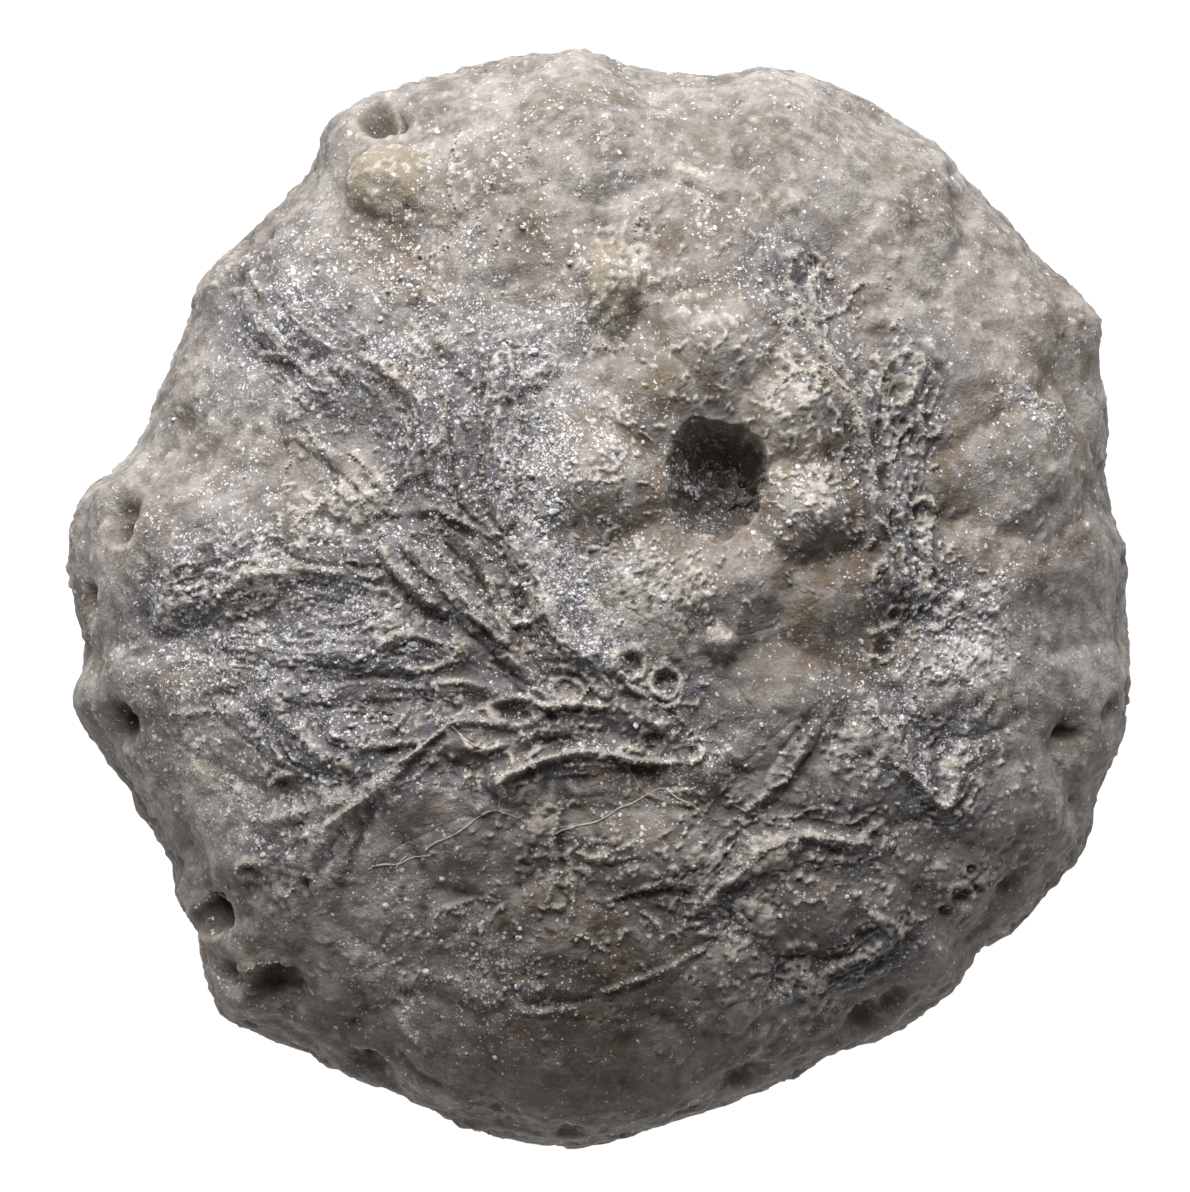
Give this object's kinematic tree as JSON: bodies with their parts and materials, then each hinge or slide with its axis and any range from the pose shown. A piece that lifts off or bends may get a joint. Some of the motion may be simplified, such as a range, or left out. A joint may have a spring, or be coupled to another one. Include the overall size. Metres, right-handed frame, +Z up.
{
  "type": "fossil crinoid calyx",
  "caption": "Rounded stone cup and lid of a fossil sea lily, with a ringed anal opening, pitted edge, ridged tube colony and worn flat base.",
  "frame": {"origin": "middle of the flat base, under the middle of the outline", "axes": "+Z up out of the lid; the anal opening lies off the middle towards +X and +Y"},
  "size_m": [0.0409, 0.0423, 0.0251],
  "materials": {
    "limestone": null
  },
  "bodies": {
    "root": {"calyx": "limestone"}
  },
  "joints": []
}
